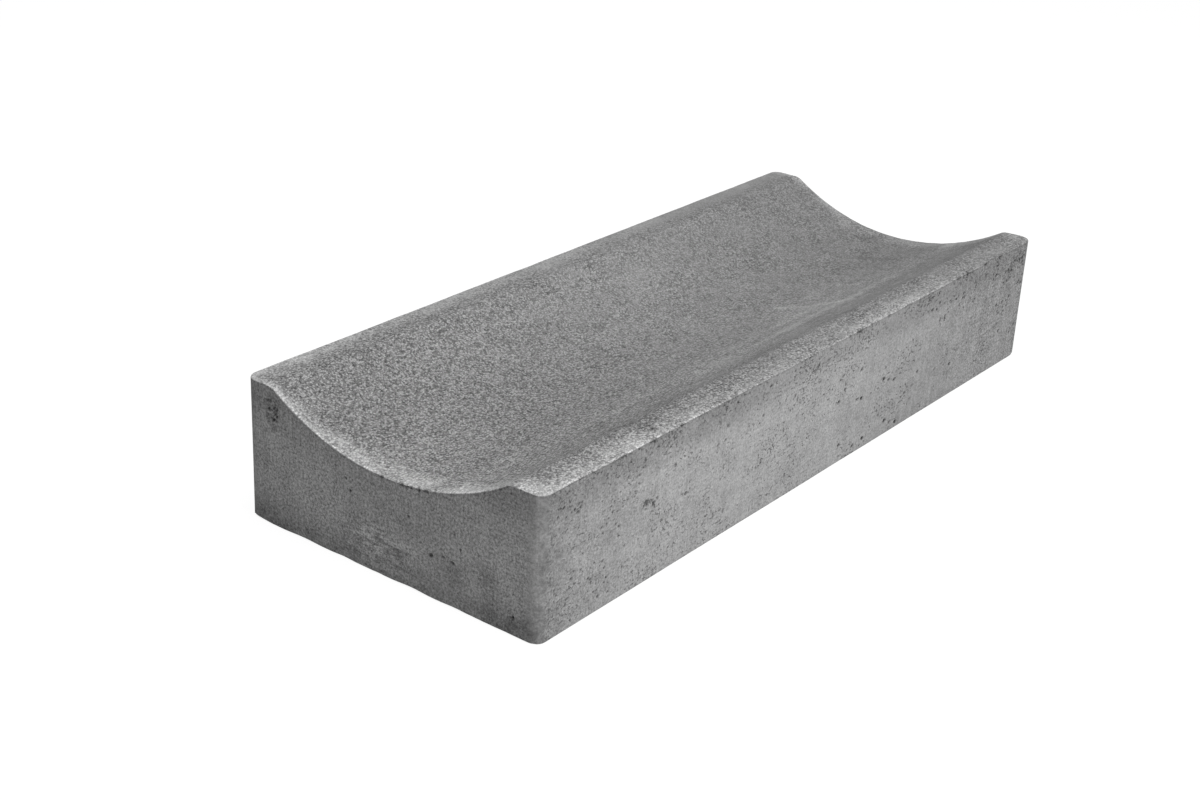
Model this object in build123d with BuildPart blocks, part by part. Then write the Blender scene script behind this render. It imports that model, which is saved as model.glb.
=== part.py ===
# Concrete drainage gutter: one cast block with a shallow dished channel along its top.
# Frame: X along the run of the channel, Y across it, Z up, with the origin at the middle of the
# flat underside that beds on the ground. Millimetres.

from build123d import *
import os

# Driving dimensions of the block
LENGTH = 500.0  # along the run, from end face to end face
WIDTH = 200.0  # across the run, from side face to side face
HEIGHT = 80.0  # from the underside to the top of the lips

# Driving dimensions of the channel
LIP_WIDTH = 20.0  # flat strip left on each side of the channel
CHANNEL_DEPTH = 24.0  # from the top of the lips down to the invert
LIP_ROUND = 5.0  # where a lip rolls over into the channel

# Edges as the mould leaves them
CORNER_ROUND = 6.0  # the four upright corners
ARRIS_ROUND = 1.5  # the rim of the top face, all the way round

# Places worked out from the driving dimensions
HALF_LENGTH = LENGTH / 2
HALF_WIDTH = WIDTH / 2
HALF_CHANNEL = HALF_WIDTH - LIP_WIDTH
INVERT_HEIGHT = HEIGHT - CHANNEL_DEPTH

LEVEL = 1e-3  # a face whose normal rises less than this stands upright

with BuildPart() as gutter_block:
    # The section across the run: a plain block with one circular arc dished into its top,
    # whose two edges roll over into the flat lips
    with BuildSketch(Plane.YZ) as section:
        with BuildLine():
            dish = ThreePointArc(
                (-HALF_CHANNEL, HEIGHT), (0, INVERT_HEIGHT), (HALF_CHANNEL, HEIGHT)
            )
            Polyline(
                dish @ 1,
                (HALF_WIDTH, HEIGHT),
                (HALF_WIDTH, 0),
                (-HALF_WIDTH, 0),
                (-HALF_WIDTH, HEIGHT),
                dish @ 0,
            )
        make_face()
        dish_edges = section.vertices().group_by(Axis.Y)[-1].sort_by(Axis.X)[1:-1]
        fillet(dish_edges, LIP_ROUND)
    extrude(amount=HALF_LENGTH, both=True)

    # The four upright corners of the mould
    fillet(gutter_block.edges().filter_by(Axis.Z), CORNER_ROUND)

    # The rim, where the lips and the dish meet the upright walls and corners
    walls = gutter_block.faces().filter_by(lambda face: abs(face.normal_at().Z) < LEVEL)
    top_faces = gutter_block.faces().filter_by(lambda face: face.normal_at().Z > LEVEL)
    fillet(top_faces.edges() & walls.edges(), ARRIS_ROUND)

gutter_block.part.label = "gutter_block"
os.makedirs("parts", exist_ok=True)
export_step(gutter_block.part, "parts/gutter_block.step")
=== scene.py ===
# Concrete drainage gutter: the look of the cast block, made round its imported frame.
# Metres, X along the run of the channel, Y across it, Z up, as in the frame.

import math
import random

import bmesh
import bpy
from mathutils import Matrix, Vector, kdtree, noise


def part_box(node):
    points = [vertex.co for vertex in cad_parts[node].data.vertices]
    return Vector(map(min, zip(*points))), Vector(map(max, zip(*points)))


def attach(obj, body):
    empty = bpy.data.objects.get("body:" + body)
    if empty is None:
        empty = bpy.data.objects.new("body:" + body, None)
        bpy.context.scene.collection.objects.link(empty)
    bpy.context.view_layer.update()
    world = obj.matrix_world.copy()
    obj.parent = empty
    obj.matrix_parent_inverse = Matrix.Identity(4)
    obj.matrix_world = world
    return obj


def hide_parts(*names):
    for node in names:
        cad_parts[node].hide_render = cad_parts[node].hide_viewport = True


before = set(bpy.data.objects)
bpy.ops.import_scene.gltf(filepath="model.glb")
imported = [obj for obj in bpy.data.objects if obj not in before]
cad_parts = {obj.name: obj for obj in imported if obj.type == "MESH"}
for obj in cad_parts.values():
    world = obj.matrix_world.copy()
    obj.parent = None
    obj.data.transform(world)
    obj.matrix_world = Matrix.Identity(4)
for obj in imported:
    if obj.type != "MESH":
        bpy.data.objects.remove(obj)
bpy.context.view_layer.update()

# The block: one piece of grey concrete, pressed in a steel mould and stripped while green. Its
# walls keep the mould's smooth skin, and the channel and lips keep the open grain of the press.
low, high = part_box("gutter_block")
mm = 0.001
lip_width = 20 * mm
dish_depth = 24 * mm
roll_reach = 2.2 * mm  # how far a lip's roll into the dish reaches to both sides
corner_round = 6 * mm
rubbed_round = 8 * mm  # the near left and far right corners are rubbed rounder
arris_round = 0.7 * mm
foot_round = 0.3 * mm
bed_border = 3 * mm
half_dish = high.y - lip_width
dish_radius = (half_dish**2 + dish_depth**2) / (2 * dish_depth)
dish_axis = high.z - dish_depth + dish_radius
dish_sweep = 2 * math.asin(half_dish / dish_radius)
dish_steps = 40
hair = 0.01 * mm  # places closer than this are the same

# The section's top line, from lip to lip, is drawn down to the bed and along the run
block = bmesh.new()
dish_edge = block.verts.new((low.x, -half_dish, high.z))
dish = bmesh.ops.spin(
    block, geom=[dish_edge], cent=(low.x, 0, dish_axis), axis=(1, 0, 0), angle=dish_sweep, steps=dish_steps
)
far_edge = next(v for v in dish["geom_last"] if isinstance(v, bmesh.types.BMVert))
for edge, side in ((dish_edge, low.y), (far_edge, high.y)):
    block.edges.new((edge, block.verts.new((low.x, side, high.z))))
drawn = bmesh.ops.extrude_edge_only(block, edges=block.edges[:])
bmesh.ops.scale(block, vec=(1, 1, 0), verts=[v for v in drawn["geom"] if isinstance(v, bmesh.types.BMVert)])
run = bmesh.ops.extrude_face_region(block, geom=block.faces[:])
bmesh.ops.translate(
    block, vec=(high.x - low.x, 0, 0), verts=[v for v in run["geom"] if isinstance(v, bmesh.types.BMVert)]
)
bmesh.ops.recalc_face_normals(block, faces=block.faces[:])


def ease(edges, reach, segments):
    """Rounds those edges of the block, as the mould leaves them."""
    bmesh.ops.bevel(
        block, geom=edges, offset=reach, segments=segments, profile=0.5, affect="EDGES", material=-1
    )
    block.normal_update()


def between(edge, first, second):
    """Whether one face beside the edge passes the first test and the other the second."""
    a, b = (face.normal for face in edge.link_faces)
    return first(a) and second(b) or first(b) and second(a)


def is_top(normal):
    return normal.z > 0.5


def is_wall(normal):
    return abs(normal.z) < 0.3


def is_bed(normal):
    return normal.z < -0.5


def at_dish_edge(vert):
    return abs(abs(vert.co.y) - half_dish) < hair and abs(vert.co.z - high.z) < hair


def at_corner(vert):
    return abs(abs(vert.co.x) - high.x) < hair and abs(abs(vert.co.y) - high.y) < hair


def upright_corners():
    """The upright corners of the block that are still sharp."""
    return [e for e in block.edges if all(map(at_corner, e.verts)) and between(e, is_wall, is_wall)]


block.normal_update()
dish_edges = [e for e in block.edges if all(map(at_dish_edge, e.verts)) and between(e, is_top, is_top)]
ease(dish_edges, roll_reach, segments=4)
rubbed_corners = [e for e in upright_corners() if e.verts[0].co.x * e.verts[0].co.y < 0]
ease(rubbed_corners, rubbed_round, segments=6)
ease(upright_corners(), corner_round, segments=6)
ease([e for e in block.edges if between(e, is_top, is_wall)], arris_round, segments=2)
ease([e for e in block.edges if between(e, is_bed, is_wall)], foot_round, segments=1)
bed = [f for f in block.faces if f.normal.z < -0.9]
bmesh.ops.inset_region(block, faces=bed, thickness=bed_border, use_even_offset=True)

# A fine net over every face, so that grain, pits and worn arrises are real relief
net_pitch = 2.0 * mm
bed_pitch = 8 * mm
x_axis, y_axis, z_axis = range(3)


def slice_faces(faces, axis, pitch):
    """Cuts the faces into strips of about that pitch, square to the axis."""
    count = round((high[axis] - low[axis]) / pitch)
    step = (high[axis] - low[axis]) / count
    normal = Vector((axis == x_axis, axis == y_axis, axis == z_axis))
    for n in range(1, count):
        place = low[axis] + n * step
        spans = [(f, [v.co[axis] for v in f.verts]) for f in faces]
        crossed = [f for f, at in spans if min(at) < place - hair and max(at) > place + hair]
        ahead = [f for f, at in spans if min(at) >= place - hair]
        geometry = set(crossed)
        for face in crossed:
            geometry.update(face.edges)
            geometry.update(face.verts)
        cut = bmesh.ops.bisect_plane(
            block, geom=list(geometry), dist=hair / 10, plane_co=normal * place, plane_no=normal
        )
        halves = [f for f in cut["geom"] if isinstance(f, bmesh.types.BMFace)]
        faces = ahead + [f for f in halves if f.calc_center_median()[axis] > place]


slice_faces([f for f in block.faces if not is_bed(f.normal) and abs(f.normal.y) < 0.9], y_axis, net_pitch)
slice_faces([f for f in block.faces if is_wall(f.normal)], z_axis, net_pitch)
slice_faces([f for f in block.faces if not is_bed(f.normal) and abs(f.normal.x) < 0.9], x_axis, net_pitch)
slice_faces([f for f in block.faces if is_bed(f.normal)], x_axis, bed_pitch)

# Bug holes: small air pits that the mould leaves in the walls, in loose clusters. Those on the
# near end and the right wall sit where they are seen; the hidden walls have a plain scatter.
chance = random.Random(7)
pits = []


def pit(place, radius, stretch=1.0, depth=0.9, shade=1.0):
    """A pit in the wall at that place, so much longer than it is high; its depth is in radii."""
    pits.append((Vector(place), radius, stretch, depth * radius, shade))


def dish_top(y):
    """Height of the top of the block at that place across it."""
    return high.z if abs(y) > half_dish else dish_axis - math.sqrt(dish_radius**2 - y**2)


def pit_cluster(place, along, spread, count, largest, shade=1.0):
    """A loose cluster of pits about that place, spread along the wall."""
    for _ in range(count):
        shift = Vector(along) * chance.gauss(0, spread) + Vector((0, 0, chance.gauss(0, spread / 2)))
        spot = Vector(place) + shift
        if 2 * mm < spot.z < high.z - 2 * mm:
            pit(spot, chance.uniform(0.6, 1.3) * largest, chance.uniform(0.9, 1.4), shade=shade)


# Clusters of the right wall: mm along the run, mm up, mm of spread, how many, and mm of radius
right_clusters = (
    (-233, 68, 3, 5, 0.8),
    (-222, 64, 4, 8, 0.8),
    (-190, 53, 5, 6, 0.7),
    (-178, 63, 4, 6, 0.8),
    (-165, 45, 3, 14, 1.1),
    (-200, 43, 10, 8, 0.7),
    (-215, 18, 12, 16, 0.7),
    (-185, 12, 12, 10, 0.8),
    (-132, 39, 4, 8, 0.8),
    (-77, 56, 5, 8, 0.8),
    (-70, 29, 4, 4, 0.8),
    (-33, 58, 8, 7, 0.8),
    (-5, 50, 8, 5, 0.8),
    (18, 49, 5, 4, 0.8),
    (120, 73, 8, 8, 1.0),
    (138, 58, 5, 6, 1.0),
    (223, 45, 6, 6, 1.1),
    (232, 70, 6, 8, 1.2),
    (-140, 75, 30, 14, 0.9),
    (-30, 74, 40, 16, 0.9),
    (150, 66, 6, 7, 0.9),
    (172, 57, 7, 8, 0.8),
    (180, 24, 14, 8, 0.8),
    (196, 66, 7, 9, 0.9),
    (208, 40, 9, 9, 0.8),
    (219, 64, 5, 9, 1.0),
    (230, 24, 7, 8, 0.9),
    (238, 52, 4, 8, 0.9),
    (240, 66, 3, 6, 1.0),
)
far_part = 115  # mm along the run, past which the clusters are darker
far_shade = 1.25
for along, up, spread, count, largest in right_clusters:
    shade = far_shade if along > far_part else 1
    pit_cluster((along * mm, low.y, up * mm), (1, 0, 0), spread * mm, count, largest * mm, shade)

# Single holes of the right wall: mm along the run, mm up, and how dark
right_holes = (
    (68, 38, 1.5),
    (74, 36, 1.1),
    (81, 34, 1.3),
    (74, 9, 1.5),
    (81, 6, 1.0),
    (88, 4, 1.4),
    (49, 6, 1.4),
    (43, 34, 1.5),
    (38, 35, 1.0),
    (17, 40, 1.3),
    (22, 11, 1.3),
    (38, 5, 1.2),
    (40, 53, 1.0),
    (23, 46, 0.9),
    (96, 20, 0.9),
    (110, 30, 1.1),
    (152, 22, 1.1),
)
hole_radius = 1.2 * mm
hole_stretch = 1.5
hole_shade = 1.1
for along, up, shade in right_holes:
    pit((along * mm, low.y, up * mm), hole_radius, hole_stretch, shade=hole_shade * shade)

# Holes of the near end: mm across, mm up, mm of radius, and stretch
end_holes = (
    (27, 46, 0.8, 1.2),
    (24, 40, 1.0, 1.1),
    (34, 51, 0.6, 1.0),
    (-16, 40, 0.9, 1.1),
    (-46, 41, 0.7, 1.2),
    (-50, 34, 0.8, 1.0),
    (-39, 26, 0.6, 2.4),
    (-45, 25, 0.9, 1.8),
    (-31, 24, 1.2, 1.4),
)
for across, up, radius, stretch in end_holes:
    pit((low.x, across * mm, up * mm), radius * mm, stretch)

# Nicks out of the arrises: along the dish of the near end, and along the right lip
nick_inset = 0.3 * mm
nick_depth = 0.7
for across in (3, -11, -14, -17, -22, -27):
    nick = (low.x + nick_inset, across * mm, dish_top(across * mm) - 0.8 * mm)
    pit(nick, 1.3 * mm, chance.uniform(1, 2), nick_depth)
for along in (-189, -164, -140, 33, 66, 150, 163, 186, 205):
    nick = (along * mm, low.y + nick_inset, high.z - 1 * mm)
    pit(nick, chance.uniform(1, 1.6) * mm, chance.uniform(1.2, 2.5), nick_depth)

# One deep hole low on the near end, and the hollow of its rough honeycomb patch, under the left lip
pit((low.x, -84 * mm, 10 * mm), 1.1 * mm, depth=1.3, shade=1.3)
honeycomb = Vector((low.x, 80 * mm, 66 * mm))
for up in (7, 4, 1, -2, -5, -8):
    pit(honeycomb + Vector((0, 0, up * mm)), 4.5 * mm, depth=0.1, shade=0.2)

# The far end and the left wall
for _ in range(30):
    spot = (high.x, chance.uniform(-92, 92) * mm, chance.uniform(3, 52) * mm)
    pit(spot, chance.uniform(0.5, 1.1) * mm, 1.2)
for _ in range(16):
    middle = (chance.uniform(-235, 235) * mm, high.y, chance.uniform(6, 76) * mm)
    pit_cluster(middle, (1, 0, 0), 7 * mm, 6, 1.0 * mm)


def refine(margin):
    """Splits the net once more around each pit, out to that margin."""
    tree = kdtree.KDTree(len(block.faces))
    block.faces.ensure_lookup_table()
    for face in block.faces:
        tree.insert(face.calc_center_median(), face.index)
    tree.balance()
    near = set()
    for spot, radius, stretch, *_ in pits:
        near.update(n for _, n, _ in tree.find_range(spot, radius * stretch + margin))
    edges = {edge for n in near for edge in block.faces[n].edges}
    bmesh.ops.subdivide_edges(block, edges=list(edges), cuts=1, use_grid_fill=True)
    block.faces.index_update()


block.faces.index_update()
refine(1.2 * mm)
refine(0.4 * mm)
block.normal_update()

# Relief and wear. Near the mould's walls the top has a paler, finer skin of cement paste, the
# arrises are a little broken, and the open grain covers the rest of the channel and the lips.
# Each mark is a value on the points of the net, which the material reads.
marks = block.verts.layers.float
open_grain, paste, arris, damp, wiped = map(marks.new, ("open_grain", "paste", "arris", "damp", "wiped"))
worn, pocked, gritty, pitted, dragged = map(marks.new, ("worn", "pocked", "gritty", "pitted", "dragged"))
grain_height = 0.07 * mm
swell_height = 0.14 * mm
break_depth = 1.1 * mm
break_reach = 2.5 * mm
chip_depth = 1.7 * mm
rubbed_foot = Vector((high.x, low.y))
rub_depth = 3 * mm
rub_reach = 11 * mm
paste_reach = 13 * mm
stain_blur = 1.2

# Chips of the near end's foot: mm across, mm of reach, and mm of depth
foot_chips = ((100, 20, 1.3), (58, 15, 0.5), (29, 9, 0.4), (-18, 14, 0.6), (-47, 11, 0.4))

# Stains of the right wall and of the near end: mm along the wall, mm up, mm of reach, and how dark
wall_stains = (
    (195, 70, 75, 0.8),
    (215, 30, 60, 0.8),
    (222, 60, 36, 1.3),
    (262, 55, 210, 1.0),
    (130, 20, 100, 0.8),
    (36, 24, 34, 0.6),
    (-225, 48, 60, 0.8),
    (-200, 80, 60, 0.8),
    (-195, 38, 40, 0.8),
    (-110, 82, 60, 0.8),
    (-215, 15, 50, 0.8),
)
end_stains = (
    (84, 2, 34, 0.8),
    (-46, 22, 26, 1.4),
    (-4, 17, 16, 1.3),
    (-80, 3, 40, 0.8),
    (-74, 60, 38, 0.45),
    (0, 62, 70, 0.8),
    (-5, 40, 50, 0.7),
)

# Strokes over the top: mm along and across where it starts and where it ends, mm of half width, and
# how pale it is wiped; below 0 it is a dark smear
wipe_strokes = (
    (60, -34, 165, -34, 30, 0.8),
    (30, -52, 60, -52, 14, 0.4),
    (136, -26, 159, -52, 4, 2.0),
    (78, -17, 100, -47, 4, 1.6),
    (98, -45, 112, -55, 4, 1.2),
    (-124, -46, -108, -61, 4, 1.6),
    (-184, -82, -166, -86, 6, 1.4),
    (-163, -72, -155, -92, 6, -1.8),
    (-40, -76, -32, -88, 5, -1.0),
    (52, -74, 62, -86, 5, -1.0),
    (6, 32, 24, 10, 6, 0.7),
    (194, -3, 205, -25, 6, -1.0),
)


def fade(value, start, end):
    """Runs smoothly from 0 at the start to 1 at the end."""
    share = min(max((value - start) / (end - start), 0), 1)
    return share * share * (3 - 2 * share)


def bell(value, reach):
    """1 in the middle, and smoothly down to 0 at that reach on both sides."""
    return 1 - fade(abs(value), 0, reach)


def from_stroke(spot, start, end):
    """Distance of a spot from the straight stroke between two places."""
    stroke = end - start
    share = min(max((spot - start).dot(stroke) / stroke.length_squared, 0), 1)
    return (spot - start - share * stroke).length


def lip_paleness(place):
    """How much of the pale skin is left on the lips, from one end of the run to the other."""
    if place.y < 0:
        left = 1.1 - 0.7 * fade(place.x, -130 * mm, -95 * mm) + 0.3 * fade(place.x, 20 * mm, 45 * mm)
        return left - 0.45 * fade(place.x, 130 * mm, 175 * mm)
    return 0.9 - 0.7 * fade(place.x, -240 * mm, 180 * mm)


def grit_strength(place, in_channel):
    """How strongly the grit shows: less far down the channel and along the outer left lip."""
    right_lip = 1 - in_channel if place.y < 0 else 0
    down_channel = 0.34 * fade(place.x, -220 * mm, 80 * mm) * (1 - right_lip)
    down_lip = 0.25 * right_lip * fade(place.x, 0, 140 * mm)
    outer_left = (0.2 + 0.25 * fade(place.x, 20 * mm, 120 * mm)) * fade(place.y, 84 * mm, 94 * mm)
    return 1 - down_channel - down_lip - outer_left


def channel_wipes_and_shade(place, in_channel):
    """A pale wiped run down the right of the channel, with a line of painted shade on the slope just inside
    the right lip, where its roll turns from the light.
    """
    drift = 5 * mm * noise.noise(Vector((place.x * 24, 3, 8)))
    drift += 3 * mm * noise.noise(Vector((place.x * 70, 1, 5)))
    patchy = 1 + 0.5 * noise.noise(Vector((place.x * 28, 9, 4)))
    pale_run = bell(place.y + 46 * mm, 18 * mm)
    # Painted shade on the slope just inside the right lip
    lip_slope_shade = patchy * bell(place.y + 76 * mm + drift, 10 * mm)
    near_end = 1 - fade(place.x, -230 * mm, -130 * mm)
    near_right = 0.5 * near_end * fade(-place.y, -40 * mm, -5 * mm)
    near_left = 0.6 * near_end * in_channel * fade(place.y, 10 * mm, 50 * mm)
    far_end = 0.6 * in_channel * fade(place.x, 110 * mm, 200 * mm)
    return pale_run - lip_slope_shade + near_right - near_left - far_end


def worn_channel(place, from_side, wobble):
    """How smooth the right half of the channel is worn, with a ragged edge along the lip."""
    ragged_side = from_side + wobble + 4 * mm * noise.noise(place * 150)
    inside_lip = fade(ragged_side, 0.75 * lip_width, 1.3 * lip_width)
    right_half = fade(-place.y, -10 * mm, 55 * mm)
    return inside_lip * right_half * (0.5 + 0.5 * fade(place.x, -230 * mm, -90 * mm))


def right_lip_arris(place):
    """How pale the arris of the right lip is painted, partly rubbed wear and partly a painted highlight,
    from one end of the run to the other.
    """
    dull_stretch = fade(place.x, 165 * mm, 180 * mm) * (1 - fade(place.x, 225 * mm, 240 * mm))
    near_corner = 0.2 + 0.8 * fade(place.x, -235 * mm, -200 * mm)
    return (1.6 * lip_paleness(place) - 0.5 - dull_stretch) * near_corner


def stain(along, up, stains, wobble):
    """How dark the darkest of those stains is at a place on its wall."""
    darkest = 0
    for middle, middle_up, reach, dark in stains:
        gap = Vector((along - middle * mm, 2 * (up - middle_up * mm))).length + 4 * wobble
        darkest = max(darkest, dark - dark * fade(gap, 0, stain_blur * reach * mm))
    return darkest


def right_wall_damp(place, normal):
    """Damp on the right wall: towards its far end, and up its corner with the near end."""
    far = 1.3 * fade(place.x, 236 * mm, 249 * mm) + 0.6 * fade(place.x, 150 * mm, 235 * mm)
    corner = 1.45 - 0.15 * fade(place.z, 5 * mm, 30 * mm) + 0.5 * bell(place.z - 46 * mm, 24 * mm)
    corner *= fade(-normal.y, 0.4, 0.85) * (1 - fade(place.x, -246 * mm, -210 * mm))
    return far + corner


def near_end_stain_and_shade(place, normal):
    """Darkening of the near end: painted shade at its foot and along its left corner, a darker right corner
    and upper left, and damp under the patch, but not on one dry spot.
    """
    # Painted shade at the foot, towards the corners
    foot_shade = 0.8 * fade(abs(place.y), 40 * mm, 80 * mm) * (1 - fade(place.z, 5 * mm, 22 * mm))
    right_corner = 0.4 * fade(-place.y, 88 * mm, 98 * mm)
    # Painted shade along the left corner, where it turns from the light
    left_corner_shade = 0.3 * fade(place.y, 80 * mm, 97 * mm)
    upper_left = 0.25 * fade(place.z, 46 * mm, 64 * mm) * fade(place.y, 20 * mm, 50 * mm)
    under_patch = 0.6 * bell(place.y - 86 * mm, 4 * mm) * (1 - fade(place.z, 45 * mm, 62 * mm))
    dry_spot = 0.6 * bell(Vector((place.y - 45 * mm, place.z - 31 * mm)).length, 24 * mm)
    flat = fade(-normal.x, 0.5, 0.9)
    return (foot_shade + right_corner) * flat + left_corner_shade + upper_left + under_patch - dry_spot


normals = {vert: vert.normal.copy() for vert in block.verts}
for vert, normal in normals.items():
    place = vert.co.copy()
    top = fade(normal.z, 0.3, 0.8)
    from_end = high.x - abs(place.x)
    from_side = high.y - abs(place.y)
    from_foot = place.z - low.z
    from_arris = min(from_end, from_side) if top > 0.5 else dish_top(place.y) - place.z
    in_channel = fade(from_side, 0.7 * lip_width, 1.2 * lip_width)
    wobble = 4 * mm * noise.noise(place * 70)

    # Marks of the top: its skin of paste, its grit, where it is wiped, worn and rubbed, a line of painted
    # shade inside the right lip, and the arris band that carries a painted highlight and painted shade
    narrowed = 0.75 + 0.9 * fade(place.y, 30 * mm, 70 * mm)
    end_skin = 1 - fade(narrowed * from_end + wobble, 0.3 * paste_reach, paste_reach)
    side_skin = 1 - fade(from_side + wobble, 0.3 * paste_reach, paste_reach)
    end_paleness = 1.15 if place.x < 0 else 0.8
    vert[open_grain] = top
    vert[paste] = top * max(end_skin * end_paleness, side_skin * lip_paleness(place))
    vert[gritty] = grit_strength(place, in_channel)
    # The wipes, with the painted shade inside the right lip
    vert[wiped] = channel_wipes_and_shade(place, in_channel)
    vert[worn] = worn_channel(place, from_side, wobble)
    for from_x, from_y, to_x, to_y, half_width, paler in wipe_strokes:
        gap = from_stroke(place.xy, Vector((from_x, from_y)) * mm, Vector((to_x, to_y)) * mm)
        stroke = paler * bell(gap + 0.3 * wobble, half_width * mm)
        vert[wiped] += stroke
        vert[worn] = max(vert[worn], -stroke)
    # The arris band: painted paler on the tops (partly rubbed wear, partly painted highlight), and painted
    # shade on the walls just under it
    vert[arris] = 1 - fade(from_arris, 0.3 * mm, 2 * mm)
    if top > 0.5 and place.y < -half_dish:
        vert[arris] *= right_lip_arris(place)

    # Marks of the walls: pin holes away from the corners, painted shade at the foot of the ends and on the
    # rubbed corners, and stains
    vert[pocked] = (1 - 0.7 * abs(normal.x)) * fade(max(from_end, from_side), 3 * mm, 14 * mm)
    # Painted shade at the foot of both ends, and on the two rubbed corners where they turn from the light
    vert[damp] = abs(normal.x) * (1 - fade(from_foot + 2 * wobble, 4 * mm, 22 * mm))
    vert[damp] += (1 - top) * max(-2.4 * normal.x * normal.y, 0)
    if normal.y < -0.5:
        vert[damp] += right_wall_damp(place, normal)
        vert[damp] = max(vert[damp], stain(place.x, place.z, wall_stains, wobble))
    elif normal.x < -0.5:
        vert[damp] = max(vert[damp], stain(place.y, place.z, end_stains, wobble))
    if normal.x < -0.5:
        from_drag = Vector((place.y - 4 * mm, 2 * (place.z - 15 * mm))).length
        vert[dragged] = 1 - fade(from_drag, 8 * mm, 44 * mm)
        vert[damp] += near_end_stain_and_shade(place, normal)

    # Relief: sand grains, a slow swell and broken arrises
    sand = noise.noise(place * 437) + 0.8 * noise.noise(place * 261 + Vector((3, 7, 1)))
    skin = max(end_skin, side_skin)
    coarse = top * (1.3 - 0.3 * in_channel) * (1 - 0.6 * skin * in_channel)
    rise = grain_height * coarse * sand + swell_height * (noise.noise(place * 18) - 0.25)
    if top * in_channel < 1:
        rise = min(rise, 0)
    broken = max(0.15 + noise.noise(place * 42) + 0.6 * noise.noise(place * 140), 0)
    sharp = (1 - 0.6 * abs(normal.x)) * (1 - 0.85 * fade(place.y, -half_dish, half_dish))
    rise -= break_depth * broken * sharp * (1 - fade(from_arris, 0, break_reach)) ** 2
    vert.co += normal * rise

    # The foot: chipped along both ends, and rubbed away at the far right corner
    chipped = max(noise.noise(place * 75 + Vector((9, 2, 5))) + 0.6 * noise.noise(place * 190) - 0.1, 0)
    lift = chip_depth * chipped
    if place.x < 0:
        chips = (deep * mm * bell(place.y - across * mm, reach * mm) for across, reach, deep in foot_chips)
        lift = 0.2 * lift + sum(chips)
    if from_end < 0.5 * bed_border:
        vert.co.z += lift * (1 - fade(from_foot, 0, break_reach))
    rubbed_off = rub_depth * bell((place.xy - rubbed_foot).length, rub_reach)
    vert.co.z += rubbed_off * (1 - fade(from_foot, 0, 3 * rub_depth))

# The pits are sunk into the net and darkened, partly dirt and partly painted shade in their hollows, and
# the honeycomb patch is torn rough, with painted shade in its deeper hollows and paler ridges
tree = kdtree.KDTree(len(normals))
verts = list(normals)
for n, vert in enumerate(verts):
    tree.insert(vert.co, n)
tree.balance()
for spot, radius, stretch, depth, shade in pits:
    for _, n, _ in tree.find_range(spot, radius * stretch + 1 * mm):
        vert = verts[n]
        gap = vert.co - spot
        flat = Vector((math.hypot(gap.x, gap.y) / stretch, gap.z))
        ragged = 0.4 * radius * noise.noise(vert.co * 800)
        inside = 1 - fade(flat.length + ragged, 0.45 * radius, 1.1 * radius)
        vert.co -= normals[vert] * depth * inside
        vert[pitted] = max(vert[pitted], shade * inside)
torn_depth = 1.2 * mm
for vert, normal in normals.items():
    gap = vert.co - honeycomb
    if normal.x < -0.5 and gap.length < 14 * mm:
        torn = noise.noise(vert.co * 480) + 0.7 * noise.noise(vert.co * 900)
        ragged = 2 * mm * noise.noise(vert.co * 240)
        inside = 1 - fade(Vector((1.7 * gap.y, gap.z)).length + ragged, 5 * mm, 10 * mm)
        vert.co -= normal * inside * torn_depth * max(torn + 0.2, 0)
        vert[pitted] += inside * (1.1 * fade(torn, -0.1, 0.4) - 0.35 * fade(-torn, 0.1, 0.5))

# The net is laid out flat for its surface maps: top, walls, ends and, smaller, the bed
sheet = block.loops.layers.uv.new("OFBake")
sheet_side = 532 * mm
sheet_gap = 4 * mm
_, width, height = high - low
bed_scale = 0.34
wall_row = width + 2 * sheet_gap
for face in block.faces:
    normal = face.normal
    for loop in face.loops:
        x, y, z = loop.vert.co - low
        if is_bed(normal):
            u, v = bed_scale * x, wall_row + 3 * (height + sheet_gap) + bed_scale * y
        elif is_top(normal):
            u, v = x, y + sheet_gap
        elif abs(normal.y) > abs(normal.x):
            u, v = x, wall_row + (height + sheet_gap) * (normal.y > 0) + z
        else:
            u, v = y + (width + sheet_gap) * (normal.x > 0), wall_row + 2 * (height + sheet_gap) + z
        loop[sheet].uv = (u + sheet_gap) / sheet_side, v / sheet_side

block_mesh = bpy.data.meshes.new("gutter_concrete")
block.to_mesh(block_mesh)
block.free()
block_mesh.polygons.foreach_set("use_smooth", [True] * len(block_mesh.polygons))
gutter_concrete = bpy.data.objects.new("gutter_concrete", block_mesh)
bpy.context.collection.objects.link(gutter_concrete)

# Its surface: pale cement paste with sand in it, with painted shade between the grains, and darker in the
# pits, partly dirt and partly painted shade
wall_grey = 0.275
top_grey = 0.312
concrete = bpy.data.materials.new("cast_concrete")
concrete.use_nodes = True
nodes, links = concrete.node_tree.nodes, concrete.node_tree.links
concrete_shader = nodes["Principled BSDF"]


def add(kind, inputs, output=0, **settings):
    """A node of the concrete with those inputs and settings; gives back one of its outputs."""
    made = nodes.new(kind)
    for name, value in settings.items():
        setattr(made, name, value)
    for name, value in inputs.items():
        if isinstance(value, bpy.types.NodeSocket):
            links.new(value, made.inputs[name])
        else:
            made.inputs[name].default_value = value
    return made.outputs[output]


def math_of(operation, a, b=0.0, c=0.0):
    return add("ShaderNodeMath", {0: a, 1: b, 2: c}, operation=operation)


def times(value, *others):
    """The value times each of the others in turn."""
    for other in others:
        value = math_of("MULTIPLY", value, other)
    return value


def gain(share, amount=1.0):
    """1 where the share is 0, and that amount more where the share is 1."""
    return math_of("MULTIPLY_ADD", share, amount, 1.0)


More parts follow.
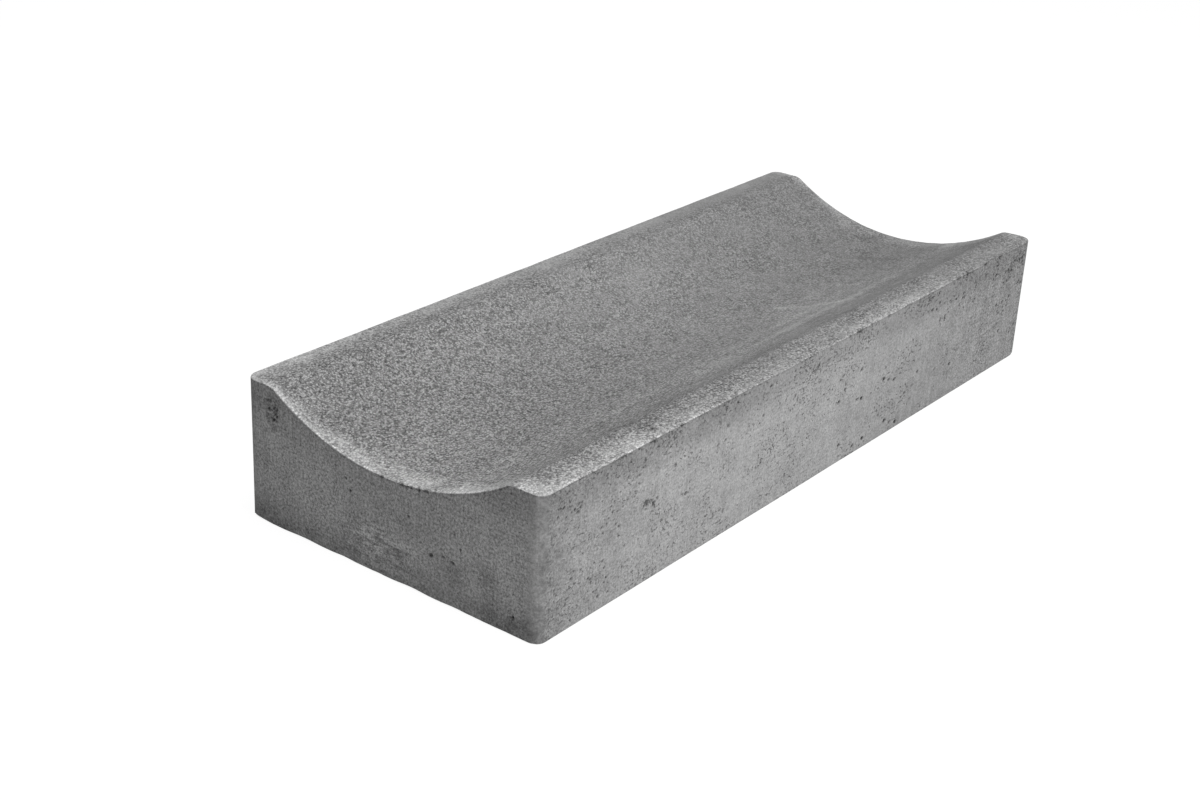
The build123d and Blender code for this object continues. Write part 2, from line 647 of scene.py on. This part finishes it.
def spread(value, start, end, first=0.0, last=1.0):
    """Runs smoothly from the first value at the start to the last value at the end."""
    return add(
        "ShaderNodeMapRange",
        {"Value": value, "From Min": start, "From Max": end, "To Min": first, "To Max": last},
        interpolation_type="SMOOTHSTEP",
    )


def mark(name):
    """One of the marks on the points of the net."""
    return add("ShaderNodeAttribute", {}, output="Fac", attribute_name=name)


def mottle(scale, detail, vector, roughness=0.6):
    """Cloudy noise about 0, from -1 to 1, with that many clouds to the metre."""
    cloud = add(
        "ShaderNodeTexNoise", {"Vector": vector, "Scale": scale, "Detail": detail, "Roughness": roughness}
    )
    return math_of("MULTIPLY_ADD", cloud, 2.0, -1.0)


def stretched(vector, along):
    """The same coordinates drawn out, so that noise over them turns to streaks."""
    return add("ShaderNodeMapping", {"Vector": vector, "Scale": along})


def varied(tone, *parts):
    """The tone, varied by each (amount, mottle) in turn."""
    total = 1.0
    for amount, cloud in parts:
        total = math_of("MULTIPLY_ADD", cloud, amount, total)
    return math_of("MULTIPLY", total, tone)


position = add("ShaderNodeTexCoord", {}, output="Object")
along_run = add("ShaderNodeSeparateXYZ", {"Vector": position}, output="X")
height_up = add("ShaderNodeSeparateXYZ", {"Vector": position}, output="Z")
open_top = mark("open_grain")
pale_skin = mark("paste")
near_arris = mark("arris")
stain_and_shade_share = mark("damp")
wipes_and_shade_share = mark("wiped")
worn_smooth = mark("worn")
grit_share = mark("gritty")
pock_share = mark("pocked")
# How dark the pits and the torn patch are: partly dirt, partly painted shade
pit_dirt_and_shade = mark("pitted")
drag_share = mark("dragged")
clouds = mottle(11, 5, position)
clusters = mottle(38, 2, position)
patches = mottle(48, 4, position)
blots = mottle(150, 3, position, 0.7)
specks = mottle(720, 2, position, 0.8)

# Walls: mould skin with drag streaks, pin holes and a darker band under the lips
drag_up = mottle(1, 2, stretched(position, (260, 260, 14)))
drag_up = times(drag_up, spread(along_run, 60 * mm, 200 * mm, 1.0, 1.9))
drag_along = mottle(1, 3, stretched(position, (75, 75, 420)), 0.7)
pocks = mottle(1, 3, stretched(position, (420, 420, 600)), 0.75)
band = spread(math_of("MULTIPLY_ADD", clusters, 0.012, height_up), 58 * mm, 74 * mm, 1.0, 0.8)
pock_chance = math_of("MULTIPLY_ADD", band, 0.35, times(clusters, 0.32))
pin_holes = times(spread(math_of("ADD", pocks, pock_chance), 0.13, 0.05), pock_share)
wall_specks = times(
    specks,
    spread(pock_share, 0.3, 1.0, 1.4, 0.9),
    spread(pock_share, 0.0, 0.25, 0.5, 1.0),
    spread(along_run, -200 * mm, -80 * mm, 1.1, 0.88),
    spread(along_run, 110 * mm, 210 * mm, 1.0, 2.0),
)
mould_skin = varied(
    wall_grey,
    (0.10, clouds),
    (0.14, patches),
    (0.20, blots),
    (0.17, drag_up),
    (0.26, drag_along),
    (1.0, wall_specks),
)
tears = mottle(1, 3, stretched(position, (150, 150, 600)), 0.8)
tears = times(drag_share, spread(tears, -0.25, 0.2, -0.43, 0.33))
# Darker where the walls are stained and damp, and where shade is painted at the foot of the ends and on the
# corners
stain_and_shade_dark = spread(blots, -0.5, 0.4, -0.3, -0.14)
wall_tone = times(mould_skin, gain(tears), band, gain(pin_holes, -0.55), gain(stain_and_shade_share, stain_and_shade_dark))

# Top: sand grains of mixed tone standing in the paste, with painted shade in the gaps between them
grain_count = 1000  # to the metre
grain = add("ShaderNodeTexVoronoi", {"Vector": position, "Scale": grain_count}, output="Distance")
grain_mix = add("ShaderNodeTexVoronoi", {"Vector": position, "Scale": grain_count}, output="Color")
grain_tone = math_of("MULTIPLY_ADD", add("ShaderNodeSeparateColor", {"Color": grain_mix}), 2.0, -1.0)
rubbed = times(spread(clusters, -0.4, 0.4, -0.2, 0.25), spread(along_run, -150 * mm, 0.0))
skin_cover = times(pale_skin, spread(patches, -0.5, 0.5, 0.1, 0.45))
bare_share = math_of("SUBTRACT", 1.0, math_of("ADD", rubbed, skin_cover))
grain_share = times(grit_share, bare_share)
smoothing = times(worn_smooth, spread(along_run, -100 * mm, 100 * mm, 0.0, -0.35))
grit = times(math_of("MULTIPLY_ADD", grain_tone, 0.75, specks), gain(smoothing), grain_share)
# Painted shade in the gaps between the grains
grain_gap_shade = times(spread(grain, 0.35, 0.75), grain_share)
clot_share = math_of("MULTIPLY_ADD", worn_smooth, 0.7, spread(along_run, -120 * mm, 60 * mm))
clots = times(blots, clot_share)
wipe = mottle(1, 3, stretched(position, (9, 110, 110)))
rub = times(wipe, gain(worn_smooth, 2.5))
far_patches = times(patches, spread(along_run, 80 * mm, 200 * mm, 1.0, 1.6))
press_grain = varied(
    top_grey,
    (0.10, clouds),
    (0.12, far_patches),
    (0.2, clots),
    (0.07, rub),
    (0.80, grit),
)
# Pale wipes and smears, and the painted shade inside the right lip
wipe_streaks_and_shade = times(wipes_and_shade_share, spread(wipe, -0.4, 0.3, 0.06, 0.2))
skin_gain = times(pale_skin, spread(patches, -0.7, 0.5, 0.17, 0.68))
top_tone = times(
    press_grain,
    spread(along_run, -240 * mm, -110 * mm, 1.0, 0.93),
    spread(along_run, -50 * mm, 200 * mm, 1.0, 0.92),
    gain(grain_gap_shade, -0.45),
    gain(wipe_streaks_and_shade),
    gain(skin_gain),
)

# Both together, paler on the arrises (partly rubbed wear, partly a painted highlight where the edge catches
# the light), with painted shade on the walls just under them, and darker in the pits (partly dirt, partly
# painted shade)
tone = add("ShaderNodeMix", {"Factor": open_top, "A": wall_tone, "B": top_tone})
# Painted highlight along the tops of the arrises, partly rubbed wear
arris_wear_and_highlight = times(spread(clusters, -0.3, 0.4, 0.0, 0.5), spread(blots, -0.3, 0.3, 0.4, 1.2))
arris_wear_and_highlight = times(times(near_arris, open_top), arris_wear_and_highlight)
# Painted shade on the walls just under the arrises
shade_under_arris = times(near_arris, math_of("SUBTRACT", 1.0, open_top))
tone = times(tone, gain(arris_wear_and_highlight), gain(shade_under_arris, -0.25), gain(pit_dirt_and_shade, -0.7))
links.new(tone, concrete_shader.inputs["Base Color"])

# Fine relief that the net is too coarse for, in millimetres
wall_relief = math_of("MULTIPLY_ADD", pin_holes, -0.5, times(specks, 0.06))
top_relief = times(math_of("MULTIPLY_ADD", grain, -0.4, times(specks, 0.2)), grit_share)
relief = add("ShaderNodeMix", {"Factor": open_top, "A": wall_relief, "B": top_relief})
bump = add("ShaderNodeBump", {"Height": relief, "Distance": mm, "Strength": 1.0})
links.new(bump, concrete_shader.inputs["Normal"])
concrete_shader.inputs["Roughness"].default_value = 0.92
concrete_shader.inputs["Specular IOR Level"].default_value = 0.3
block_mesh.materials.append(concrete)

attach(gutter_concrete, "root")
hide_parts("gutter_block")

# The stage: a plain white floor that runs out of sight and keeps a faint shadow of the block.
# It shows white to the camera and in reflections, and lights the block as plain pale paint would.
floor_size = 8.0
floor_drop = 0.2 * mm
floor_grey = 0.75  # as it lights the block
shadow_grey = 0.16  # what a full shadow takes off the white
floor_glow = 0.91
floor_mesh = bpy.data.meshes.new("white_floor")
floor_sheet = bmesh.new()
bmesh.ops.create_grid(floor_sheet, x_segments=1, y_segments=1, size=floor_size / 2)
bmesh.ops.translate(floor_sheet, vec=(0, 0, low.z - floor_drop), verts=floor_sheet.verts[:])
floor_sheet.to_mesh(floor_mesh)
floor_sheet.free()
white_floor = bpy.data.objects.new("white_floor", floor_mesh)
bpy.context.collection.objects.link(white_floor)


def seen_directly(nodes, links):
    """1 where the camera, a reflection or clear glass sees the surface, and 0 where it only lights."""
    path = nodes.new("ShaderNodeLightPath")
    seen = path.outputs["Is Camera Ray"]
    for other in ("Is Glossy Ray", "Is Transmission Ray"):
        either = nodes.new("ShaderNodeMath")
        either.operation = "MAXIMUM"
        links.new(seen, either.inputs[0])
        links.new(path.outputs[other], either.inputs[1])
        seen = either.outputs[0]
    return seen


paint = bpy.data.materials.new("white_floor_paint")
paint.use_nodes = True
nodes, links = paint.node_tree.nodes, paint.node_tree.links
nodes.clear()
bounce = nodes.new("ShaderNodeBsdfDiffuse")
bounce.inputs["Color"].default_value = (floor_grey, floor_grey, floor_grey, 1)
shadow = nodes.new("ShaderNodeBsdfDiffuse")
shadow.inputs["Color"].default_value = (shadow_grey, shadow_grey, shadow_grey, 1)
glow = nodes.new("ShaderNodeEmission")
glow.inputs["Strength"].default_value = floor_glow
shown = nodes.new("ShaderNodeAddShader")
links.new(shadow.outputs[0], shown.inputs[0])
links.new(glow.outputs[0], shown.inputs[1])
floor_look = nodes.new("ShaderNodeMixShader")
links.new(seen_directly(nodes, links), floor_look.inputs[0])
links.new(bounce.outputs[0], floor_look.inputs[1])
links.new(shown.outputs[0], floor_look.inputs[2])
painted = nodes.new("ShaderNodeOutputMaterial")
links.new(floor_look.outputs[0], painted.inputs["Surface"])
floor_mesh.materials.append(paint)

# The light: a dim even sky, one soft box low on the right that lights the long wall, and a large
# one overhead that fills the channel.
sky_strength = 0.37
sky = bpy.data.worlds.new("studio")
sky.use_nodes = True
bpy.context.scene.world = sky
nodes, links = sky.node_tree.nodes, sky.node_tree.links
nodes.clear()
dim = nodes.new("ShaderNodeBackground")
dim.inputs["Color"].default_value = (1, 1, 1, 1)
dim.inputs["Strength"].default_value = sky_strength
white = nodes.new("ShaderNodeBackground")
white.inputs["Color"].default_value = (1, 1, 1, 1)
sky_look = nodes.new("ShaderNodeMixShader")
links.new(seen_directly(nodes, links), sky_look.inputs[0])
links.new(dim.outputs[0], sky_look.inputs[1])
links.new(white.outputs[0], sky_look.inputs[2])
whole = nodes.new("ShaderNodeOutputWorld")
links.new(sky_look.outputs[0], whole.inputs["Surface"])


def soft_box(name, place, width, height, power):
    """An oblong soft light at that place, aimed at the middle of the block."""
    lamp = bpy.data.lights.new(name, "AREA")
    lamp.shape = "RECTANGLE"
    lamp.size = width
    lamp.size_y = height
    lamp.energy = power
    stand = bpy.data.objects.new(name, lamp)
    stand.location = place
    aim = Vector((0, 0, high.z / 2)) - stand.location
    stand.rotation_euler = aim.to_track_quat("-Z", "Y").to_euler()
    bpy.context.collection.objects.link(stand)


soft_box("right_soft_box", Vector((-0.16, -0.95, 0.27)), width=0.6, height=0.5, power=5.9)
soft_box("overhead_soft_box", Vector((-0.10, -0.25, 1.70)), width=1.2, height=0.9, power=15)

# The camera stands where the picture was taken from, close to the near end on the right.
camera = bpy.data.cameras.new("camera")
camera.sensor_width = 36
camera.lens = 57.04
tripod = bpy.data.objects.new("camera", camera)
tripod.location = (-0.85592, -0.58273, 0.48166)
tripod.rotation_euler = (math.radians(65.5925), math.radians(-2.6509), math.radians(-52.0125))
bpy.context.collection.objects.link(tripod)
bpy.context.scene.camera = tripod
bpy.context.scene.view_settings.view_transform = "Standard"
